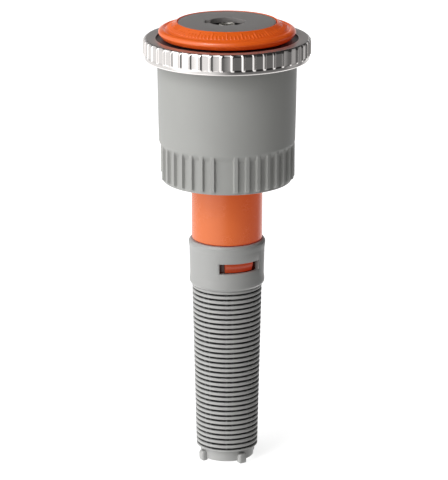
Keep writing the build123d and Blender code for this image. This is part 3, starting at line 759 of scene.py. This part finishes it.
def prong(side):
    """Half of the slotted end: loops of an arc and its chord, drawn in at the chamfer."""
    loops = []
    chamfer_z = SLOT_DEPTH - END_CHAMFER
    for z, r in ((-0.1, shaft_r), (chamfer_z, shaft_r), (SLOT_DEPTH, shaft_r - END_CHAMFER)):
        start = np.arcsin(SLOT_HALF / r)
        turn = np.linspace(start, np.pi - start, 25)
        arc = np.stack([r * np.cos(turn), r * np.sin(turn)], -1) * side
        loops.append(np.column_stack([arc, np.full(len(turn), shaft_top - SLOT_DEPTH + z)]))
    return bar(np.stack(loops))


def ground_steel(name, colour, roughness):
    """Ground steel: fine rings round the piece from the wheel, and a dull end filmed with lime."""
    made = Finish(name, {})
    along = made.place.node("ShaderNodeCombineXYZ", sockets={0: made.z * WHEEL_LINES})
    rings = made.noise(1.0, 3.0, along)
    end = made.z.rise((shaft_top - 0.05) * MM, shaft_top * MM)
    made.vary("Base Color", end.between(shade(colour, 0.96), shade(LIMED, 1.0)))
    made.vary("Metallic", 1 - end * 0.75)
    made.vary("Roughness", roughness + (rings - 0.5) * 0.12 + end * 0.25)
    made.relief(rings, 0.3e-6)
    return made.material


shaft_outline = outline([
    (0, shaft_low, 0), (shaft_r, shaft_low, 0.15), (shaft_r, FLAT_TOP - 0.001, 0),
    (shaft_r, FLAT_TOP, 0), (shaft_r, -13.92, 0.04), (1.1, -13.92, 0.04), (1.1, -13.38, 0.04),
    (shaft_r, -13.38, 0.04), (shaft_r, shaft_top - SLOT_DEPTH, 0.01),
    (0, shaft_top - SLOT_DEPTH, 0)])
stainless_rod = ground_steel("stainless_rod", (0.66, 0.65, 0.63), 0.24)
shaft_skin = joined([lathe(shaft_outline, round_bearings(96), shaft_shape), prong(1), prong(-1)])
piece("slotted_shaft", shaft_skin, stainless_rod, "radius_shaft", ["shaft"])

WIRE_R, COIL_R, COILS = 0.25, 2.45, 9
CLOSED_TURNS, CLOSED_PITCH = 1.0, 0.52  # at each end

low, high = (np.array(corner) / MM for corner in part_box("return_spring"))
spring_low, spring_high = low[2] + WIRE_R, high[2] - WIRE_R


def wound(turns):
    """Height of the wire's middle after some turns: nearly closed at the ends, open between."""
    open_count = COILS + 1 - 2 * CLOSED_TURNS
    pitch = (spring_high - spring_low - 2 * CLOSED_TURNS * CLOSED_PITCH) / open_count
    at_foot = np.clip(turns, 0, CLOSED_TURNS)
    at_head = np.clip(turns - CLOSED_TURNS - open_count, 0, CLOSED_TURNS)
    between_ends = np.clip(turns - CLOSED_TURNS, 0, open_count)
    return spring_low + (at_foot + at_head) * CLOSED_PITCH + between_ends * pitch


turns = np.linspace(0, COILS + 1, 44 * (COILS + 1) + 1)[:, None]
around = np.linspace(0, 2 * np.pi, 12, endpoint=False)
angle = turns * 2 * np.pi
reach = COIL_R + WIRE_R * np.cos(around)
lift = wound(turns) + WIRE_R * np.sin(around)
coil = np.stack([reach * np.cos(angle), reach * np.sin(angle), lift], -1)
spring_wire = spun_steel("spring_wire", (0.60, 0.60, 0.60), 0.28, 0.10)
spring = piece("coil_spring", bar(coil), spring_wire, "base", ["return_spring"])
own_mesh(spring)

# ---- Inner works --------------------------------------------------------------------------------
# Turned, stamped and moulded pieces inside: the steel clip and spring cup, the acetal bushes,
# drum, throttle and deflector, and the rubber seals.

acetal = moulded("acetal", (0.72, 0.71, 0.67), 0.38)
nitrile = moulded("nitrile", (0.02, 0.02, 0.021), 0.62, grain=3e-6)
FINISHES = {
    "acetal": acetal, "stainless_rod": stainless_rod, "nitrile": nitrile,
    "black_acetal": black_acetal, "dark_grey_plastic": dark_grey_plastic,
}
slots = {part["node"]: part["material_slot"] for part in frame["record"]["subparts"]}
for node, part in frame["nodes"].items():
    if not part.hide_render:
        part.material_slots[0].material = FINISHES[slots[node]]

# ---- Studio -------------------------------------------------------------------------------------
# A pale floor under the filter's lugs, soft light from broad patches of the surroundings, mostly
# at the left of the camera, and a long lens that looks a little down on the nozzle. The floor can't
# be seen from below.

scene = bpy.context.scene
scene.view_settings.view_transform = "Standard"
PITCH, DISTANCE, LENS = np.radians(16.3), 0.525, 232.5
AIM = Vector((-0.00051, 0, -0.0208))

floor_z, floor_half = cad_low[2] - 0.00002, 4.0
floor_mesh = bpy.data.meshes.new("floor")
square = ((-1, -1), (1, -1), (1, 1), (-1, 1))
floor_corners = [(x * floor_half, y * floor_half, floor_z) for x, y in square]
floor_mesh.from_pydata(floor_corners, [], [(0, 1, 2, 3)])
floor_paint = Finish("floor_paint", {"Base Color": (0.6, 0.6, 0.6, 1), "Roughness": 0.9,
                                     "Emission Color": (1, 1, 1, 1), "Emission Strength": 0.78})
under = floor_paint.place.node("ShaderNodeNewGeometry", output="Backfacing")
clear = floor_paint.place.node("ShaderNodeBsdfTransparent")
painted = Signal(floor_paint.tree, floor_paint.shader.outputs["BSDF"])
surface = under.node("ShaderNodeMixShader", sockets={0: under, 1: painted, 2: clear})
output = floor_paint.tree.nodes["Material Output"]
floor_paint.tree.links.new(surface.socket, output.inputs["Surface"])
floor_mesh.materials.append(floor_paint.material)
floor = bpy.data.objects.new("floor", floor_mesh)
scene.collection.objects.link(floor)
floor.visible_glossy = floor.visible_diffuse = floor.visible_shadow = False

world = bpy.data.worlds.new("studio")
world.use_nodes = True
scene.world = world
sky = Signal(world.node_tree)
direction = sky.node("ShaderNodeTexCoord", output="Generated")


def glow(azimuth, elevation, inner, outer):
    """A soft round patch of surroundings: 1 within inner degrees of its middle, 0 past outer."""
    azimuth, elevation = np.radians(azimuth), np.radians(elevation)
    level = np.cos(elevation)
    middle = (np.sin(azimuth) * level, -np.cos(azimuth) * level, np.sin(elevation))
    sockets = {0: direction, 1: middle}
    cosine = direction.node("ShaderNodeVectorMath", {"operation": "DOT_PRODUCT"}, sockets, "Value")
    return cosine.rise(np.cos(np.radians(outer)), np.cos(np.radians(inner)))


table = glow(0, -90, 45, 74) * 0.78 + glow(0, -90, 70, 92) * 0.16
backdrop = glow(180, -30, 15, 60) * 0.9
broad = glow(-72, 6, 45, 84) * 0.83 + glow(-32, 50, 15, 40) * 1.1
core = glow(-64, 12, 15, 35) * 1.2
lamp = glow(-38, 48, 4, 14) * 7
edge = glow(106, 0, 5, 24) * 0.3
surround = 0.03 + table + backdrop + broad + core + lamp + edge
seen = sky.node("ShaderNodeLightPath", output="Is Camera Ray")
strength = surround * (1 - seen) + seen
sheet = world.node_tree.nodes["Background"]
world.node_tree.links.new(strength.socket, sheet.inputs["Strength"])
sheet.inputs["Color"].default_value = (1, 1, 1, 1)

camera = bpy.data.cameras.new("camera")
camera.lens, camera.sensor_width = LENS, 36.0
camera.clip_start, camera.clip_end = 0.05, 20.0
view_from = bpy.data.objects.new("camera", camera)
ahead = Vector((0, np.cos(PITCH), -np.sin(PITCH)))
turned = ahead.to_track_quat("-Z", "Y").to_matrix().to_4x4()
view_from.matrix_world = Matrix.Translation(AIM - ahead * DISTANCE) @ turned
scene.collection.objects.link(view_from)
scene.camera = view_from
